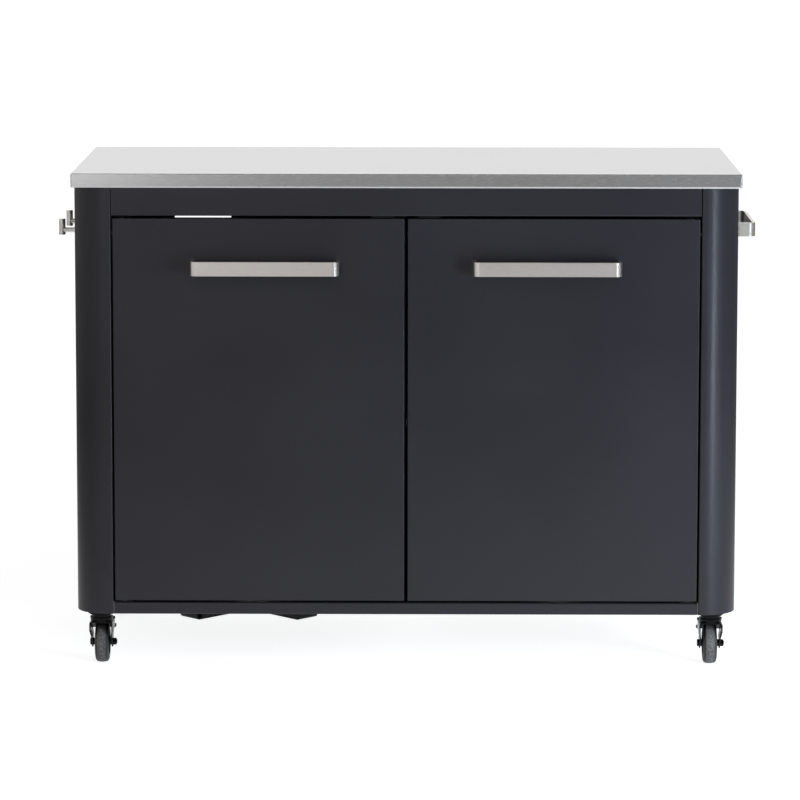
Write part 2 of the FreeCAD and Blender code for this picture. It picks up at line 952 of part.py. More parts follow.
def door_handle(side):
    """U-shaped bar on the door's face."""
    middle = handle_middle(side)
    half = door_handle_length / 2
    low = overall_height - door_handle_drop - handle_height
    path = [
        (middle - half, face_y),
        (middle - half, face_y - door_handle_reach),
        (middle + half, face_y - door_handle_reach),
        (middle + half, face_y),
    ]
    holes = []
    for place in handle_screw_places(side):
        holes.append(rod("y", place, handle_screw_radius, face_y - handle_screw_length, face_y))
    return cut_all(bar_handle(path, low), holes)


def handle_screws(side):
    """Screws from inside the door into the handle's ends."""
    screws = []
    seat = face_y + door_sheet
    for place in handle_screw_places(side):
        head = rod("y", place, handle_screw_head, seat, seat + handle_screw_head_height)
        shank = rod("y", place, handle_screw_radius, face_y - handle_screw_length, seat)
        screws.append(joined([head, shank]))
    return group(screws)


def side_handle_low():
    """Height of the side handle's lower edge."""
    return overall_height - side_handle_drop - handle_height


def side_handle_screw_places():
    """Y and Z of each screw that holds the side handle."""
    start = face_y + side_handle_setback
    middle_z = side_handle_low() + handle_height / 2
    places = []
    for y in (start + handle_bar / 2, start + side_handle_length - handle_bar / 2):
        for up in (-handle_screw_spacing / 2, handle_screw_spacing / 2):
            places.append((y, middle_z + up))
    return places


def side_handle():
    """U-shaped bar on the right side panel."""
    start = face_y + side_handle_setback
    end = start + side_handle_length
    path = [
        (side_x, start),
        (side_x + side_reach, start),
        (side_x + side_reach, end),
        (side_x, end),
    ]
    holes = []
    for place in side_handle_screw_places():
        holes.append(rod("x", place, handle_screw_radius, side_x, side_x + handle_screw_length))
    return cut_all(bar_handle(path, side_handle_low()), holes)


def hook_places():
    """Y and Z of the middle of each hook's arm, where its screw sits."""
    first = face_y + hook_setback
    z = overall_height - hook_post_drop - hook_post_height + hook_arm_rise
    return [(first, z), (first + hook_spacing, z)]


def tool_hooks():
    """Hooks on the left side: a round arm that ends in a short upright post."""
    hooks = []
    post_x = -side_x - side_reach + hook_post_radius
    top = overall_height - hook_post_drop
    low = top - hook_post_height
    for y, z in hook_places():
        arm = rod("x", (y, z), hook_arm_radius, post_x, -side_x)
        post = rod("z", (post_x, y), hook_post_radius, low, top)
        post = rounded(post, hook_round, lambda b: b.ZLength < hair)
        hole = rod("x", (y, z), handle_screw_radius, -side_x - handle_screw_length, -side_x)
        hooks.append(joined([post, arm]).cut(hole))
    return group(hooks)


def side_panel_screws():
    """Screws from inside the cabinet into the hooks' arms and the side handle's ends."""
    screws = []
    sides = [(LEFT, hook_places()), (RIGHT, side_handle_screw_places())]
    for side, places in sides:
        seat = side * wall_inner
        head_end = side * (wall_inner - handle_screw_head_height)
        tip = side * (side_x + handle_screw_length)
        for place in places:
            head = rod("x", place, handle_screw_head, head_end, seat)
            shank = rod("x", place, handle_screw_radius, seat, tip)
            screws.append(joined([head, shank]))
    return group(screws)


def door_catches():
    """Plastic catch housings under the front rail."""
    housings = []
    front = face_y + door_thickness + strike_sheet + catch_gap + magnet_sheet
    for side in (LEFT, RIGHT):
        middle = side * catch_offset
        housing = box(
            middle - catch_width / 2, middle + catch_width / 2, front, front + catch_depth,
            rail_bottom - catch_height, rail_bottom,
        )
        housings.append(rounded(
            housing, catch_round, lambda b: b.YLength > clear and b.ZMax < rail_bottom - clear
        ))
    return group(housings)


def catch_magnets():
    """Magnet plates on the front of the catch housings."""
    magnets = []
    front = face_y + door_thickness + strike_sheet + catch_gap
    top = rail_bottom - door_top_gap - clear
    for side in (LEFT, RIGHT):
        middle = side * catch_offset
        magnets.append(box(
            middle - magnet_width / 2, middle + magnet_width / 2, front, front + magnet_sheet,
            top - magnet_height, top,
        ))
    return group(magnets)


def catch_strike(side):
    """Steel plate on the door's inner face that meets the magnet."""
    front = face_y + door_thickness
    middle = side * catch_offset
    top = rail_bottom - door_top_gap - clear
    return box(
        middle - magnet_width / 2, middle + magnet_width / 2, front, front + strike_sheet,
        top - magnet_height, top,
    )


def caster_places():
    """X and Y of the four swivel axes: front left, front right, rear left, rear right."""
    return [
        (-caster_x, front_caster_y),
        (caster_x, front_caster_y),
        (-caster_x, rear_caster_y),
        (caster_x, rear_caster_y),
    ]


def caster_bolt_places(x, y):
    """X and Y of the four bolts of the caster at that place."""
    places = []
    for across in (-plate_bolt_x, plate_bolt_x):
        for along in (-plate_bolt_y, plate_bolt_y):
            places.append((x + across, y + along))
    return places


def caster_bolt_holes(x, y):
    """Holes for one caster's bolts, through its plate and the channel."""
    low = base_z - plate_sheet - clear
    high = base_z + channel_sheet + clear
    return [rod("z", place, plate_bolt_radius, low, high) for place in caster_bolt_places(x, y)]


def race_bottom():
    """Height of the upper race's lower face."""
    return base_z - plate_sheet - race_height


def dish_top():
    """Height of the lower race's upper face."""
    return race_bottom() - race_gap


def crown_top():
    """Height of the fork's upper face, under the lower race."""
    return dish_top() - dish_height


def caster_plates():
    """Top plates, each with the upper race pressed below it."""
    plates = []
    for x, y in caster_places():
        plate = box(
            x - plate_width / 2, x + plate_width / 2, y - plate_length / 2, y + plate_length / 2,
            base_z - plate_sheet, base_z,
        )
        plate = rounded(plate, plate_round, lambda b: b.ZLength > clear)
        race = Part.makeCone(
            race_radius, race_radius - race_taper, race_height,
            Vector(x, y, base_z - plate_sheet), Vector(0, 0, -1),
        )
        core = rod("z", (x, y), kingpin_radius, race_bottom() - clear, base_z + clear)
        whole = joined([plate, race])
        plates.append(cut_all(whole, [core] + caster_bolt_holes(x, y)))
    return group(plates)


def caster_bolts():
    """Bolts up through the plates, with nuts inside the channels."""
    bolts = []
    low = base_z - plate_sheet
    high = base_z + channel_sheet
    for x, y in caster_places():
        for place in caster_bolt_places(x, y):
            head = rod("z", place, plate_bolt_head_radius, low - plate_bolt_head, low)
            head = rounded(head, bolt_head_round, lambda b: b.ZMax < low - clear)
            shank = rod("z", place, plate_bolt_radius, low, high + plate_nut + bolt_tip)
            nut = hexagon("xy", place, plate_nut_flats, high, high + plate_nut)
            bolts.append(joined([head, shank, nut]))
    return group(bolts)


def caster_kingpins():
    """Rivets that hold the forks up, with running room below the crown."""
    pins = []
    crown_bottom = crown_top() - fork_sheet
    for x, y in caster_places():
        shank = rod("z", (x, y), kingpin_radius, base_z, crown_bottom - bearing_play)
        low = crown_bottom - bearing_play
        head = rod("z", (x, y), kingpin_head_radius, low - kingpin_head, low)
        head = rounded(head, kingpin_head_round, lambda b: b.ZMax < low - kingpin_head + hair)
        pins.append(joined([shank, head]))
    return group(pins)


def swivel_bearings():
    """Ball cages between the upper and lower races."""
    cages = []
    for x, y in caster_places():
        top = race_bottom()
        low = dish_top() + bearing_play
        ring = rod("z", (x, y), cage_outer, low, top)
        ring = ring.cut(rod("z", (x, y), cage_inner, low, top))
        cages.append(ring)
    return group(cages)


def fork_profile(y):
    """Side outline of the fork in the yz plane."""
    top = crown_top()
    axle_y = y + caster_trail
    front = y - race_radius + clear
    rear = y + pedal_setback + pedal_boss_radius
    return [
        (front, top + clear),
        (rear, top + clear),
        (rear, pedal_pivot_height - pedal_boss_radius),
        (axle_y + fork_boss_radius, wheel_radius + fork_waist),
        (axle_y + fork_boss_radius - fork_toe_inset, wheel_radius - fork_toe),
        (axle_y - fork_boss_radius + fork_toe_inset, wheel_radius - fork_toe),
        (front, top - fork_brow),
    ]


def caster_fork(x, y):
    """Pressed fork with the lower race, its legs drawn back and in to the axle."""
    top = crown_top()
    wide = fork_width / 2
    slim = fork_axle_width / 2
    axle = (y + caster_trail, wheel_radius)
    toe = wheel_radius - fork_boss_radius
    path = [
        (x + slim, toe),
        (x + slim, wheel_radius + fork_taper_low),
        (x + wide, wheel_radius + fork_taper_high),
        (x + wide, top),
        (x - wide, top),
        (x - wide, wheel_radius + fork_taper_high),
        (x - slim, wheel_radius + fork_taper_low),
        (x - slim, toe),
    ]
    sheet = bent_sheet("xz", path, fork_sheet, [fork_bend] * 6, y - long, y + long)
    outline = slab("yz", fork_profile(y), x - wide - clear, x + wide + clear)
    boss = rod("x", axle, fork_boss_radius, x - wide, x + wide)
    behind = box(
        x - wide + fork_sheet, x + wide - fork_sheet, y + race_radius - clear, y + long,
        top - fork_sheet - fork_bend, top + clear,
    )
    body = sheet.common(joined([outline, boss])).cut(behind)
    dish = Part.makeCone(
        race_radius - clear, race_radius, dish_height, Vector(x, y, top), Vector(0, 0, 1)
    )
    fork = joined([body, dish])
    bore = rod("z", (x, y), kingpin_radius + swivel_play, 0, dish_top() + clear)
    axle_hole = rod("x", axle, axle_radius, x - wide, x + wide)
    pivot = (y + pedal_setback, pedal_pivot_height)
    pin_hole = rod("x", pivot, pedal_pin_radius, x - wide - clear, x + wide + clear)
    return cut_all(fork, [bore, axle_hole, pin_hole])


def caster_axle(x, y):
    """Axle bolt with its nut and the two spacers beside the hub."""
    axle = (y + caster_trail, wheel_radius)
    outer = fork_axle_width / 2
    inner = outer - fork_sheet
    head = rod("x", axle, axle_head_radius, x - outer - axle_head, x - outer)
    head = rounded(head, axle_head_round, lambda b: b.XMax < x - outer - clear)
    shank = rod("x", axle, axle_radius, x - outer, x + outer + axle_nut + axle_tip)
    nut = hexagon("yz", axle, axle_nut_flats, x + outer, x + outer + axle_nut)
    nut = nut.cut(rod("x", axle, axle_radius, x + outer, x + outer + axle_nut))
    solids = [joined([head, shank]), nut]
    for hand in (LEFT, RIGHT):
        start = x + hand * (hub_boss_width / 2 + side_play)
        end = x + hand * inner
        spacer = rod("x", axle, axle_radius + spacer_wall, start, end)
        solids.append(spacer.cut(rod("x", axle, axle_radius, start, end)))
    return group(solids)


def caster_tyre(x, y):
    """Rubber ring whose tread is crowned, with round shoulders."""
    half = wheel_width / 2
    middle = y + caster_trail
    inside = wheel_radius + hub_radius
    shoulder = 2 * wheel_radius - tread_crown
    corners = [
        Vector(x - half, middle, shoulder),
        Vector(x - half, middle, inside),
        Vector(x + half, middle, inside),
        Vector(x + half, middle, shoulder),
    ]
    crown = Part.Arc(corners[3], Vector(x, middle, 2 * wheel_radius), corners[0])
    edges = [Part.makeLine(first, second) for first, second in zip(corners, corners[1:])]
    section = Part.Face(Part.Wire(edges + [crown.toShape()]))
    tyre = section.revolve(Vector(x, middle, wheel_radius), Vector(1, 0, 0), 360)
    return rounded(tyre, tread_round, lambda b: b.XLength < hair and b.YLength > 2 * hub_radius + clear)


def caster_hub(x, y):
    """Plastic wheel centre: a rim, a web with round windows and a boss on the axle."""
    axle = (y + caster_trail, wheel_radius)
    half = wheel_width / 2
    rim = rod("x", axle, hub_radius, x - half, x + half)
    well = hub_radius - hub_rim
    for hand in (LEFT, RIGHT):
        rim = rim.cut(rod("x", axle, well, x + hand * hub_web / 2, x + hand * half))
    boss = rod("x", axle, hub_boss_radius, x - hub_boss_width / 2, x + hub_boss_width / 2)
    hub = joined([rim, boss])
    cuts = [rod("x", axle, axle_radius + axle_play, x - hub_boss_width, x + hub_boss_width)]
    middle = (hub_boss_radius + well) / 2
    for window in range(hub_windows):
        turn = 2 * math.pi * window / hub_windows
        place = (axle[0] + middle * math.cos(turn), axle[1] + middle * math.sin(turn))
        cuts.append(rod("x", place, hub_window_radius, x - half, x + half))
    return cut_all(hub, cuts)


def pedal_pin(x, y):
    """Pin through the fork on which the brake pedal turns."""
    reach = fork_width / 2 + pedal_pin_tip
    pivot = (y + pedal_setback, pedal_pivot_height)
    pin = rod("x", pivot, pedal_pin_radius, x - reach, x + reach)
    return rounded(pin, pin_round, lambda b: b.XLength < hair)


def brake_pedal(x, y):
    """Foot pedal behind the fork; its web bears on the tyre and ends in a tread."""
    pivot = (y + pedal_setback, pedal_pivot_height)
    half = fork_width / 2 - fork_sheet - 2 * side_play
    start = y + pedal_tread_start
    end = y + pedal_tread_end
    low = pedal_tread_height
    top = low + pedal_tread_sheet
    tread = box(x - pedal_width / 2, x + pedal_width / 2, start, end, low, top)
    tread = rounded(tread, pedal_tread_round, lambda b: b.XLength > clear or b.YMin > end - hair)
    web = [
        (pivot[0], pivot[1] - pedal_boss_radius),
        (pivot[0] + pedal_boss_radius, pivot[1] + pedal_web_top),
        (start + pedal_tread_sheet, top),
        (start + pedal_tread_sheet, low + clear),
        (start + clear, low),
    ]
    web = slab("yz", web, x - half, x + half)
    gap = pedal_shoe_gap
    wheel = rod("x", (y + caster_trail, wheel_radius), wheel_radius + gap, x - half, x + half)
    pieces = [tread, web.cut(wheel)]
    cheek = [
        (pivot[0], pivot[1] - pedal_boss_radius),
        (pivot[0] + pedal_boss_radius, pivot[1] + pedal_web_top),
        (start + pedal_tread_sheet, top),
        (start + pedal_tread_sheet, low + clear),
        (start + clear, low),
        (start - pedal_tread_sheet, low + clear),
    ]
    for hand in (LEFT, RIGHT):
        near = x + hand * (half - pedal_cheek)
        far = x + hand * half
        pieces.append(slab("yz", cheek, near, far))
        pieces.append(rod("x", pivot, pedal_boss_radius, near, far))
    pedal = joined(pieces)
    return pedal.cut(rod("x", pivot, pedal_pin_radius + hinge_play, x - half, x + half))


def export(name, shape):
    """Write one node, after checking that every piece of it is a sound solid."""
    for solid in shape.Solids:
        if not solid.isValid() or solid.Volume <= 0:
            raise ValueError("unsound solid in " + name)
    if not shape.Solids:
        raise ValueError("no solid in " + name)
    if len(shape.Solids) == 1:
        shape = shape.Solids[0]
    shape.exportStep("parts/" + name + ".step")
    print(name, len(shape.Solids), round(shape.Volume / 1000, 1), "cm3")


def build_cabinet():
    """Nodes that stay still."""
    export("worktop", worktop())
    export("worktop_stiffeners", worktop_stiffeners())
    export("worktop_fixings", worktop_fixings())
    export("left_side_panel", side_panel(LEFT))
    export("right_side_panel", side_panel(RIGHT))
    export("back_panel", back_panel())
    export("upper_back_panel", upper_back_panel())
    export("front_rail", front_rail())
    export("rear_rail", rear_rail())
    export("divider_panel", divider_panel())
    export("base_tray", base_tray())
    export("base_channels", base_channels())
    export("bottle_cradle", bottle_cradle())
    export("cradle_bolts", cradle_bolts())
    export("shelf", shelf())
    export("shelf_rails", shelf_rails())
    export("panel_screws", panel_screws())
    export("hinge_brackets", hinge_brackets())
    export("hinge_pins", hinge_pins())
    export("door_catches", door_catches())
    export("catch_magnets", catch_magnets())
    export("side_handle", side_handle())
    export("tool_hooks", tool_hooks())
    export("side_panel_screws", side_panel_screws())
    export("caster_plates", caster_plates())
    export("caster_bolts", caster_bolts())
    export("caster_kingpins", caster_kingpins())
    export("swivel_bearings", swivel_bearings())


def build_door(name, side):
    """Nodes that turn with one door."""
    export(name + "_door_skin", door_skin(side))
    export(name + "_door_liner", door_liner(side))
    export(name + "_door_handle", door_handle(side))
    export(name + "_handle_screws", handle_screws(side))
    export(name + "_catch_strike", catch_strike(side))
    export(name + "_hinge_bushes", door_bushes(side))


def build_caster(name, place):
    """Nodes of one caster's fork and wheel."""
    x, y = place
    export(name + "_fork", caster_fork(x, y))
    export(name + "_axle", caster_axle(x, y))
    export(name + "_tyre", caster_tyre(x, y))
    export(name + "_hub", caster_hub(x, y))


def build():
    """The whole cart."""
    os.makedirs("parts", exist_ok=True)
    build_cabinet()
    build_door("left", LEFT)
    build_door("right", RIGHT)
    names = ("front_left", "front_right", "rear_left", "rear_right")
    for name, place in zip(names, caster_places()):
        build_caster(name, place)
    for name, place in zip(names[:2], caster_places()[:2]):
        export(name + "_pedal", brake_pedal(*place))
        export(name + "_pedal_pin", pedal_pin(*place))


build()
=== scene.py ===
import math
import bpy
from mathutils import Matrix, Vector


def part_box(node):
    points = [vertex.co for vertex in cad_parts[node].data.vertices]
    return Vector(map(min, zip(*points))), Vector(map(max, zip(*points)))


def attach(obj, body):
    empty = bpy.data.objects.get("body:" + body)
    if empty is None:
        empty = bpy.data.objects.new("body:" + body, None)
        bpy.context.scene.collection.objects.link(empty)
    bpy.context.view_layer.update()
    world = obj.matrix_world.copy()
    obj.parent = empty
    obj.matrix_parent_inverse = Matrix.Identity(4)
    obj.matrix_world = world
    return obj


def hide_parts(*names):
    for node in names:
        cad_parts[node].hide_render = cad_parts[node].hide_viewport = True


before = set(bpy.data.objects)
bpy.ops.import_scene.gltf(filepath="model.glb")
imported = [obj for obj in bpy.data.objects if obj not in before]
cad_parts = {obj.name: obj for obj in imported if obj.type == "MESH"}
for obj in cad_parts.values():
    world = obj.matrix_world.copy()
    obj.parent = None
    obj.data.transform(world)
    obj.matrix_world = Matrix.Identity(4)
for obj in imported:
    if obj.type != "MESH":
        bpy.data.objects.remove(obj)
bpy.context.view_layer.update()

# The camera stands far off, a little above the worktop, with a long lens.
CAMERA_PLACE = (0.0389, -7.2104, 1.5685)
CAMERA_TURN = (82.8814, -0.0559, 0.4168)
CAMERA_LENS = 176.23
CAMERA_SHIFT = -0.1400

# Light from the right is a little cool, and light from the front a little warm.
COOL = (0.73, 0.87, 1.0)
ROSE = (1.0, 0.86, 0.91)
WHITE = (1.0, 1.0, 1.0)

# Lamps: place, the point each faces, width and height, watts, colour, whether metal shows it.
LAMPS = {
    "front_softbox": ((0.5, -3.6, 3.0), (0.15, 0.0, 0.5), (3.0, 1.6), 40.0, ROSE, False),
    "near_softbox": ((1.9, -1.7, 0.5), (0.3, -0.2, 0.4), (1.0, 1.0), 52.0, COOL, False),
    "side_softbox": ((3.2, -0.4, 0.9), (0.5, -0.1, 0.4), (1.4, 1.6), 24.0, WHITE, False),
    "corner_strip": ((1.62, -2.1, 0.43), (0.56, -0.2, 0.43), (0.1, 0.86), 8.3, COOL, True),
    "left_panel": ((-1.45, -5.2, 1.4), (-0.3, 0.0, 0.8), (1.1, 1.2), 12.0, WHITE, True),
}

# What polished metal sees round the horizon: degrees right of the front, and brightness.
HORIZON_PEAK = 2.0
HORIZON = (
    (-180.0, 0.95), (-154.0, 0.95), (-146.0, 2.0), (-94.0, 2.0), (-86.0, 1.75), (-44.0, 1.75),
    (-36.0, 1.2), (-19.0, 1.2), (-12.0, 0.42), (5.0, 0.42), (11.0, 0.6), (18.0, 0.3), (50.0, 0.3),
    (60.0, 0.15), (146.0, 0.1), (154.0, 0.95), (180.0, 0.95),
)

# Reflections from above the horizon stay between these two levels.
HORIZON_CAP = 0.95
HORIZON_FLOOR = 0.38

# Brightness overhead, from lower down to straight above, and the soft light from behind.
OVERHEAD_FRONT = (0.5, 0.05)
OVERHEAD_BACK = (1.25, 1.4)
BACK_LIGHT = 0.45

# Where each change of brightness starts and ends, as the sine of the angle above the horizon.
CAP_RISE = (-0.02, 0.12)
FLOOR_RISE = (0.0, 0.12)
OVERHEAD_RISE = (0.5, 0.64)
FRONT_RISE = (0.5, 0.7)
BACK_RISE = (0.8, 0.92)

# The floor: its colour, the glow that metal sees near the cart, and how far out each reaches.
FLOOR_TONE = 0.66
FLOOR_GLOW = 0.52
FLOOR_GLOW_NEAR = 0.8
FLOOR_GLOW_FAR = 2.6
FLOOR_WHITE = 0.85
FLOOR_WHITE_NEAR = 1.0
FLOOR_WHITE_FAR = 4.0

# Sizes in metres.
WORKTOP_SHEET = 0.0012
WORKTOP_HEM = 0.0030
WORKTOP_HEM_HEIGHT = 0.009
WORKTOP_ROUND = 0.0028
RIM_HEIGHT = 0.0026
RIM_LEAN = 0.0010
BAR = 0.006
BAR_BEND = 0.006
BAR_EASE = 0.0004
POST_RADIUS = 0.006
ARM_RADIUS = 0.0055
ARM_RISE = 0.0094
HOOK_SPACING = 0.150
ROD_ROUND = 0.0006
BEAD_OUT = 0.0022
BEAD_DEPTH = 0.0006
BEAD_WIDTH = 0.0014
BEAD_SLOPE = 0.0004
TREAD_CROWN = 0.0025
TREAD_ROUND = 0.0065
BORE_RADIUS = 0.027
WHEEL_RADIUS = 0.0375
SHEET_EASE = 0.0004
CAST_EASE = 0.0007

# Brush marks on steel, in waves per metre.
LINES_ACROSS = 1800.0
LINES_ALONG = 70.0
BANDS_ACROSS = 260.0
BANDS_ALONG = 9.0

# A bent bar's brush lines run a quarter turn from its upright axis.
QUARTER_TURN = 0.25

CASTER_CORNERS = ("front_left", "front_right", "rear_left", "rear_right")


def place_camera():
    """Adds the camera with its long lens."""
    data = bpy.data.cameras.new("camera")
    camera = bpy.data.objects.new("camera", data)
    bpy.context.scene.collection.objects.link(camera)
    camera.location = CAMERA_PLACE
    camera.rotation_euler = [math.radians(turn) for turn in CAMERA_TURN]
    data.lens = CAMERA_LENS
    data.sensor_width = 36.0
    data.shift_y = CAMERA_SHIFT
    data.clip_end = 100.0
    bpy.context.scene.camera = camera


def soft_light(name, place, target, size, power, colour):
    """Rectangular studio lamp that faces a point."""
    data = bpy.data.lights.new(name, "AREA")
    data.shape = "RECTANGLE"
    data.size, data.size_y = size
    data.energy = power
    data.color = colour
    lamp = bpy.data.objects.new(name, data)
    bpy.context.scene.collection.objects.link(lamp)
    lamp.location = place
    facing = Vector(target) - Vector(place)
    lamp.rotation_euler = facing.to_track_quat("-Z", "Y").to_euler()
    lamp.visible_camera = False
    return lamp


def light_studio():
    """Soft light from the front and the right, with a tall strip for the rounded corner."""
    for name, (place, target, size, power, colour, shown) in LAMPS.items():
        lamp = soft_light(name, place, target, size, power, colour)
        lamp.visible_glossy = shown


def light_world():
    """White to the camera; metal sees it bright on the left, dim in front, dark on the right."""
    world = bpy.data.worlds.new("studio")
    bpy.context.scene.world = world
    world.use_nodes = True
    tree = world.node_tree
    tree.nodes.clear()

    def graded(value, start, end, low, high):
        """Smooth change from low to high while the value goes from start to end."""
        node = tree.nodes.new("ShaderNodeMapRange")
        node.interpolation_type = "SMOOTHSTEP"
        node.inputs["From Min"].default_value = start
        node.inputs["From Max"].default_value = end
        node.inputs["To Min"].default_value = low
        node.inputs["To Max"].default_value = high
        tree.links.new(value, node.inputs["Value"])
        return node.outputs["Result"]

    def mixed(amount, first, second):
        """The first value, with the second laid over it by the amount."""
        node = tree.nodes.new("ShaderNodeMix")
        tree.links.new(amount, node.inputs["Factor"])
        tree.links.new(first, node.inputs["A"])
        tree.links.new(second, node.inputs["B"])
        return node.outputs["Result"]

    def calculated(operation, first, second=None):
        """One step of arithmetic on sockets or numbers."""
        node = tree.nodes.new("ShaderNodeMath")
        node.operation = operation
        for value, socket in zip((first, second), node.inputs):
            if isinstance(value, float):
                socket.default_value = value
            elif value is not None:
                tree.links.new(value, socket)
        return node.outputs[0]

    place = tree.nodes.new("ShaderNodeTexCoord")
    axes = tree.nodes.new("ShaderNodeSeparateXYZ")
    tree.links.new(place.outputs["Generated"], axes.inputs[0])
    x, y, z = axes.outputs
    round_turn = calculated("ARCTAN2", x, calculated("MULTIPLY", y, -1.0))
    share = calculated("MULTIPLY_ADD", round_turn, 0.5 / math.pi)
    share.node.inputs[2].default_value = 0.5
    ramp = tree.nodes.new("ShaderNodeValToRGB")
    points = ramp.color_ramp.elements
    while len(points) < len(HORIZON):
        points.new(0.5)
    for point, (degrees, level) in zip(points, HORIZON):
        point.position = degrees / 360.0 + 0.5
        point.color = (level / HORIZON_PEAK, level / HORIZON_PEAK, level / HORIZON_PEAK, 1.0)
    tree.links.new(share, ramp.inputs["Fac"])
    level_round = calculated("MULTIPLY", ramp.outputs["Color"], HORIZON_PEAK)
    cap = graded(z, *CAP_RISE, HORIZON_PEAK, HORIZON_CAP)
    least = graded(z, *FLOOR_RISE, 0.0, HORIZON_FLOOR)
    level_round = calculated("MAXIMUM", calculated("MINIMUM", level_round, cap), least)
    overhead = mixed(
        graded(y, -0.1, 0.1, 0.0, 1.0),
        graded(z, *FRONT_RISE, *OVERHEAD_FRONT),
        graded(z, *BACK_RISE, *OVERHEAD_BACK),
    )
    level = mixed(graded(z, *OVERHEAD_RISE, 0.0, 1.0), level_round, overhead)
    shade = tree.nodes.new("ShaderNodeBackground")
    tree.links.new(graded(y, 0.0, 0.5, 0.0, BACK_LIGHT), shade.inputs["Strength"])
    sheen = tree.nodes.new("ShaderNodeBackground")
    tree.links.new(level, sheen.inputs["Strength"])
    white = tree.nodes.new("ShaderNodeBackground")
    for background in (shade, sheen, white):
        background.inputs["Color"].default_value = (1.0, 1.0, 1.0, 1.0)
    path = tree.nodes.new("ShaderNodeLightPath")
    reflected = tree.nodes.new("ShaderNodeMixShader")
    seen = tree.nodes.new("ShaderNodeMixShader")
    output = tree.nodes.new("ShaderNodeOutputWorld")
    tree.links.new(path.outputs["Is Glossy Ray"], reflected.inputs["Fac"])
    tree.links.new(shade.outputs[0], reflected.inputs[1])
    tree.links.new(sheen.outputs[0], reflected.inputs[2])
    tree.links.new(path.outputs["Is Camera Ray"], seen.inputs["Fac"])
    tree.links.new(reflected.outputs[0], seen.inputs[1])
    tree.links.new(white.outputs[0], seen.inputs[2])
    tree.links.new(seen.outputs[0], output.inputs["Surface"])


def lay_floor():
    """Pale floor that runs out to the white background and keeps the shadow."""
    bpy.ops.object.select_all(action="DESELECT")
    bpy.ops.mesh.primitive_plane_add(size=60.0, location=(0.0, 0.0, 0.0))
    floor = bpy.context.active_object
    floor.name = "floor"
    material = bpy.data.materials.new("pale_floor")
    material.use_nodes = True
    tree = material.node_tree
    tree.nodes.clear()
    place = tree.nodes.new("ShaderNodeTexCoord")
    distance = tree.nodes.new("ShaderNodeVectorMath")
    distance.operation = "LENGTH"
    tree.links.new(place.outputs["Object"], distance.inputs[0])

    def by_distance(start, end, near, far, interpolation):
        node = tree.nodes.new("ShaderNodeMapRange")
        node.interpolation_type = interpolation
        node.inputs["From Min"].default_value = start
        node.inputs["From Max"].default_value = end
        node.inputs["To Min"].default_value = near
        node.inputs["To Max"].default_value = far
        tree.links.new(distance.outputs["Value"], node.inputs["Value"])
        return node.outputs["Result"]

    glow_level = by_distance(FLOOR_GLOW_NEAR, FLOOR_GLOW_FAR, FLOOR_GLOW, 0.0, "SMOOTHSTEP")
    white_level = by_distance(FLOOR_WHITE_NEAR, FLOOR_WHITE_FAR, FLOOR_WHITE, 1.0, "LINEAR")
    path = tree.nodes.new("ShaderNodeLightPath")
    reflected = tree.nodes.new("ShaderNodeMath")
    reflected.operation = "MULTIPLY"
    tree.links.new(path.outputs["Is Glossy Ray"], reflected.inputs[0])
    tree.links.new(glow_level, reflected.inputs[1])
    level = tree.nodes.new("ShaderNodeMath")
    level.operation = "MULTIPLY_ADD"
    tree.links.new(path.outputs["Is Camera Ray"], level.inputs[0])
    tree.links.new(white_level, level.inputs[1])
    tree.links.new(reflected.outputs[0], level.inputs[2])
    matt = tree.nodes.new("ShaderNodeBsdfDiffuse")
    matt.inputs["Color"].default_value = (FLOOR_TONE, FLOOR_TONE, FLOOR_TONE, 1.0)
    glow = tree.nodes.new("ShaderNodeEmission")
    glow.inputs["Color"].default_value = (1.0, 1.0, 1.0, 1.0)
    tree.links.new(level.outputs[0], glow.inputs["Strength"])
    total = tree.nodes.new("ShaderNodeAddShader")
    tree.links.new(matt.outputs[0], total.inputs[0])
    tree.links.new(glow.outputs[0], total.inputs[1])
    output = tree.nodes.new("ShaderNodeOutputMaterial")
    tree.links.new(total.outputs[0], output.inputs["Surface"])
    floor.data.materials.append(material)


